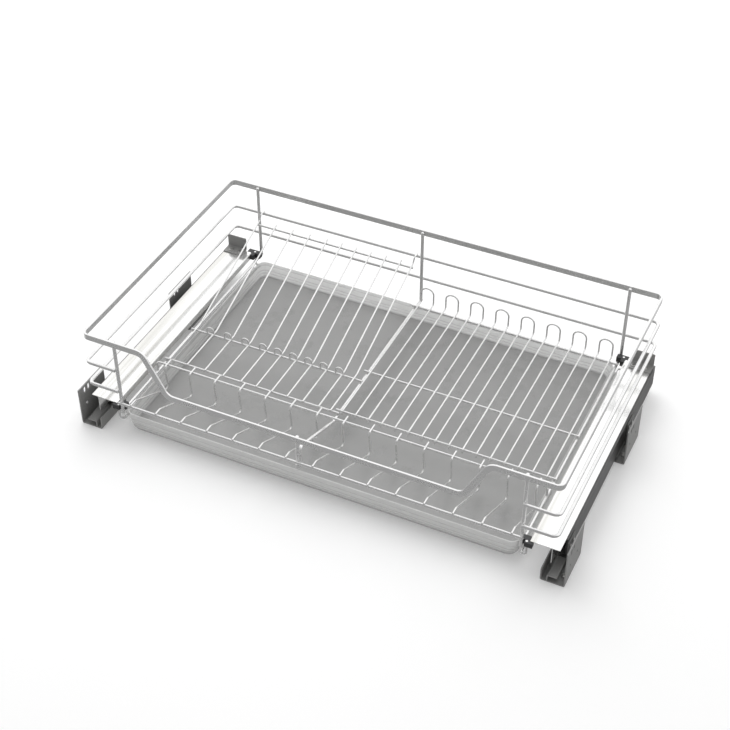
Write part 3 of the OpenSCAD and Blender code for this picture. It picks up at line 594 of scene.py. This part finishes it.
chrome = satin_chrome()
finish(chrome, "top_rail", "upper_side_wire", "lower_side_wire", "front_posts",
       "front_centre_post", "post_cap", "back_posts", "side_bars", "centre_bar",
       "front_bottom_wire", "cradle_wires", "cradle_cross_wire")

# Beads where the posts cross the side wires and the front wire, and where they meet the bars.
contact_d, contact_h = 0.0042, 0.0022
front_post_boxes = solid_boxes("front_posts")
back_post_boxes = solid_boxes("back_posts")
centre_post_low, centre_post_high = map(Vector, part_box("front_centre_post"))
side_wire_zs = [middle_of(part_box(name)).z for name in ("upper_side_wire", "lower_side_wire")]
front_wire_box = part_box("front_bottom_wire")
front_wire_z = middle_of(front_wire_box).z
side_bar_z = middle_of(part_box("side_bars")).z
places = []
for low, high in front_post_boxes:
    for z in side_wire_zs + [front_wire_z]:
        places.append(at((low.x + high.x) / 2, low.y, z, quarter_turn, "X"))
for low, high in back_post_boxes:
    for z in side_wire_zs:
        places.append(at((low.x + high.x) / 2, high.y, z, quarter_turn, "X"))
centre_post_x = (centre_post_low.x + centre_post_high.x) / 2
places.append(at(centre_post_x, centre_post_low.y, front_wire_z, quarter_turn, "X"))
for low, high in back_post_boxes:
    places.append(at((low.x + high.x) / 2, (low.y + high.y) / 2, low.z))
for low, high in front_post_boxes:
    places.append(at((low.x + high.x) / 2, high.y, side_bar_z, quarter_turn, "X"))
crossing_bead = weld_bead(contact_d, contact_d, contact_h)
crossing_welds = repeat(crossing_bead, places, "basket_crossing_welds", "basket")

# Seams on both sides of each post, where it lies against the top rail, which dips at the front.
seam_l, seam_w, seam_h = 0.0085, 0.0016, 0.0014
seam_out = 0.0016
dip_z = 0.15
rail_seam_drop, dip_seam_drop = 0.0045, 0.0040
post_boxes = front_post_boxes + back_post_boxes + [(centre_post_low, centre_post_high)]
places = []
for low, high in post_boxes:
    y = low.y if low.y < 0 else high.y
    z = high.z - (rail_seam_drop if high.z > dip_z else dip_seam_drop)
    for way in (-1, 1):
        places.append(at((low.x + high.x) / 2 + way * seam_out, y, z, quarter_turn, "Y"))
seam_welds = repeat(weld_bead(seam_l, seam_w, seam_h), places, "post_seam_welds", "basket")

post_d = 0.006
places = []
for low, high in post_boxes:
    places.append(at((low.x + high.x) / 2, (low.y + high.y) / 2, high.z))
for low, high in front_post_boxes:
    places.append(at((low.x + high.x) / 2, (low.y + high.y) / 2, low.z, math.pi, "X"))
post_tips = repeat(wire_tip(post_d), places, "post_tips", "basket")

# The cradle's bent wires are welded on the front wire and on the cross wire behind it.
fine_r = 0.0015
fine_weld_d, fine_weld_h = 0.0032, 0.0016
cradle_boxes = solid_boxes("cradle_wires")
cross_wire_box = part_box("cradle_cross_wire")
places = []
for low, high in cradle_boxes:
    for wire_box in (front_wire_box, cross_wire_box):
        places.append(at((low.x + high.x) / 2, middle_of(wire_box).y, wire_box[1][2]))
cradle_bead = weld_bead(fine_weld_d, fine_weld_d, fine_weld_h)
cradle_welds = repeat(cradle_bead, places, "cradle_welds", "basket")
places = []
for low, high in cradle_boxes:
    places.append(at((low.x + high.x) / 2, high.y, high.z - fine_r, -quarter_turn, "X"))
cradle_tips = repeat(wire_tip(2 * fine_r), places, "cradle_tips", "basket")


# Clips and hangers: moulded clips of dark plastic hold the side bars and the cover plates, and
# the two bent wires that carry the tray hang in them.
def moulded_plastic():
    plastic = Surface("moulded_plastic")
    cloud = plastic.noise(40.0, 3.0)
    grain = plastic.noise(1500.0)
    plastic.look("Base Color", plastic.blend(cloud, (0.028, 0.028, 0.03), (0.042, 0.042, 0.043)))
    plastic.look("Roughness", 0.42 + grain * 0.2)
    plastic.relief(0.25, grain)
    return plastic.owner


finish(moulded_plastic(), "front_clips", "rear_clips")
finish(chrome, "tray_hanger_left", "tray_hanger_right")


# Plate rack and bowl rack: fine chromed wires, welded on thicker cross wires that rest on the
# side bars and the centre bar, so that each rack lifts out.
def rack_welds(wires, cross_wires, name, body, legs):
    """Beads where each leg of each wire lies on a cross wire."""
    places = []
    for wire_low, wire_high in solid_boxes(wires):
        for x in legs(wire_low, wire_high):
            for low, high in solid_boxes(cross_wires):
                places.append(at(x, (low.y + high.y) / 2, high.z))
    piece = repeat(weld_bead(rack_weld_l, rack_weld_w, rack_weld_h), places, name, body)


def cross_wire_tips(cross_wires, name, body):
    places = []
    for low, high in solid_boxes(cross_wires):
        y, z = (low.y + high.y) / 2, (low.z + high.z) / 2
        places.append(at(high.x, y, z, quarter_turn, "Y"))
        places.append(at(low.x, y, z, -quarter_turn, "Y"))
    piece = repeat(wire_tip(cross_wire_d), places, name, body)


rack_weld_l, rack_weld_w, rack_weld_h = 0.0032, 0.0034, 0.0016
cross_wire_d = 0.004
finish(chrome, "plate_rack_wires", "plate_rack_arches", "plate_rack_cross_wires",
       "bowl_rack_wires", "bowl_rack_cross_wires")
rack_welds("plate_rack_wires", "plate_rack_cross_wires", "plate_rack_welds", "plate_rack",
           lambda low, high: [(low.x + high.x) / 2])
rack_welds("bowl_rack_wires", "bowl_rack_cross_wires", "bowl_rack_welds", "bowl_rack",
           lambda low, high: [low.x + fine_r, high.x - fine_r])
cross_wire_tips("plate_rack_cross_wires", "plate_rack_tips", "plate_rack")
cross_wire_tips("bowl_rack_cross_wires", "bowl_rack_tips", "bowl_rack")

wire_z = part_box("plate_rack_wires")[0][2] + fine_r
places = []
for low, high in solid_boxes("plate_rack_wires"):
    places.append(at((low.x + high.x) / 2, low.y, wire_z, quarter_turn, "X"))
plate_wire_tips = repeat(wire_tip(2 * fine_r), places, "plate_rack_wire_tips", "plate_rack")
places = []
for low, high in solid_boxes("bowl_rack_wires"):
    for x in (low.x + fine_r, high.x - fine_r):
        places.append(at(x, low.y + fine_r, low.z, math.pi, "X"))
bowl_wire_tips = repeat(wire_tip(2 * fine_r), places, "bowl_rack_wire_tips", "bowl_rack")


# Drip tray: one shell moulded in smoke grey translucent plastic, with rounded corners, ribs
# around its wall, a higher front and a ledge along each side that rides on the hangers.
def smoked_plastic():
    plastic = Surface("smoked_plastic")
    cloud = plastic.noise(14.0, 3.0)
    grain = plastic.noise(800.0)
    height = plastic.add("ShaderNodeSeparateXYZ", inputs={0: plastic.place}, output=2)
    bottom = plastic.add("ShaderNodeMath", {"operation": "LESS_THAN"}, {0: height, 1: bottom_z})
    # Painted shade: a darker line is painted along each rib, in place of the shade the rib casts.
    painted_rib_shade = 0.0
    for share in rib_shares:
        near = {0: height, 1: tray_low.z + share * wall_h, 2: rib_shade_half_w}
        painted_rib_shade = plastic.add("ShaderNodeMath", {"operation": "COMPARE"}, near) + painted_rib_shade
    # Painted shade: the bottom, which lies in the rack's shadow, is painted dark grey against the
    # pale wall. Only the cloud is a change in the plastic's own tone.
    tone_and_painted_shade = (0.06 + cloud * 0.08 + (1 - bottom) * 0.8 - painted_rib_shade * 0.4).limited()
    plastic.look("Base Color", plastic.blend(tone_and_painted_shade, (0.31, 0.31, 0.306), (0.86, 0.86, 0.852)))
    plastic.look("Roughness", 0.20 + cloud * 0.12 + grain * 0.05)
    plastic.look("Alpha", 0.48 + bottom * 0.20 + cloud * 0.04)
    plastic.relief(0.06, cloud + grain * 0.2, 0.0003)
    return plastic.owner


tray_low, tray_high = map(Vector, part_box("drip_tray"))
tray_wall = 0.002
tray_draft = 0.006
tray_corner_r = 0.022
tray_edge_r = 0.0004
bottom_z = 0.0142
front_lip_h = 0.005
rim_slack = 0.0001
ledge_low, ledge_high = 0.0303, 0.0323
ledge_slack = 0.0004
ledge_out = 0.0087
ledge_lean = 0.37
rib_shares = (0.14, 0.33, 0.51, 0.84)
rib_foot, rib_top = 0.045, 0.02
rib_out = 0.0009
# Half the width of the painted shade line along each rib.
rib_shade_half_w = 0.0008
rim_z = tray_high.z - front_lip_h
wall_h = rim_z - tray_low.z
wall_x = tray_high.x - ledge_out
floor_w = 2 * (wall_x - tray_draft)
floor_l = tray_high.y - tray_low.y - 2 * tray_draft
tray_mid = Vector(((tray_low.x + tray_high.x) / 2, (tray_low.y + tray_high.y) / 2, tray_low.z))

# The wall's rings, as shares: their height in the wall, and how far it has leaned out there.
wall_rings = [(0.0, 0.0), (1.0, 1.0)]
for z in (ledge_low, ledge_high):
    share = (z - tray_low.z) / wall_h
    wall_rings.append((share, share))
for share in rib_shares:
    for step in (-rib_foot, rib_foot):
        wall_rings.append((share + step, share + step))
    for step in (-rib_top, rib_top):
        wall_rings.append((share + step, share + step + rib_out / tray_draft))
wall_rings.sort()

bpy.ops.mesh.primitive_plane_add(size=1, location=tray_mid)
tray = bpy.context.object
tray.name = tray.data.name = "moulded_drip_tray"
tray.scale = (floor_w, floor_l, 1)
settle(tray)
mesh = edit(tray)
bpy.ops.mesh.select_all(action="SELECT")
bpy.ops.mesh.bevel(offset=tray_corner_r - tray_draft, segments=10, affect="VERTICES")
width, length, level = floor_w, floor_l, 0.0
for height, lean in wall_rings[1:]:
    new_width = floor_w + 2 * lean * tray_draft
    new_length = floor_l + 2 * lean * tray_draft
    rise = (height - level) * wall_h
    bpy.ops.mesh.select_mode(type="FACE")
    mesh = bmesh.from_edit_mesh(tray.data)
    pick(mesh, mesh.faces, lambda f: f.normal.z > 0.9 or len(mesh.faces) == 1)
    bpy.ops.mesh.extrude_region_move(TRANSFORM_OT_translate={"value": (0, 0, rise)})
    bpy.ops.transform.resize(value=(new_width / width, new_length / length, 1),
                             center_override=tray_mid)
    width, length, level = new_width, new_length, height

# The last face is taken out, which opens the tray, and the front rim is lifted.
mesh = bmesh.from_edit_mesh(tray.data)
pick(mesh, mesh.faces, lambda f: f.normal.z > 0.9)
bpy.ops.mesh.delete(type="FACE")
bpy.ops.mesh.select_mode(type="VERT")
mesh = bmesh.from_edit_mesh(tray.data)
front_end = tray_low.y + 0.5 * tray_corner_r
pick(mesh, mesh.verts, lambda v: v.co.z > rim_z - rim_slack and v.co.y < front_end)
bpy.ops.transform.translate(value=(0, 0, front_lip_h))
bpy.ops.mesh.select_all(action="SELECT")
bpy.ops.mesh.normals_make_consistent(inside=False)
close_edit()
apply_modifier(tray, "SOLIDIFY", thickness=tray_wall, offset=-1, use_even_offset=True)

# Each ledge is drawn out of the side wall to the tray's full width. At that height the wall has
# the share ledge_lean of its draft still to come.
mesh = edit(tray, "FACE")
for way in (-1, 1):
    pick(mesh, mesh.faces, lambda f: way * f.normal.x > 0.9
         and way * centre_of(f).x > wall_x - tray_draft
         and ledge_low - ledge_slack < centre_of(f).z < ledge_high + ledge_slack)
    reach = way * (ledge_out + ledge_lean * tray_draft)
    bpy.ops.mesh.extrude_region_move(TRANSFORM_OT_translate={"value": (reach, 0, 0)})
    mesh = bmesh.from_edit_mesh(tray.data)
close_edit()
apply_modifier(tray, "BEVEL", width=tray_edge_r, segments=2, limit_method="ANGLE",
               angle_limit=math.radians(50))
settle(tray, smoked_plastic(), 40)
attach(tray, "drip_tray")
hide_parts("drip_tray")
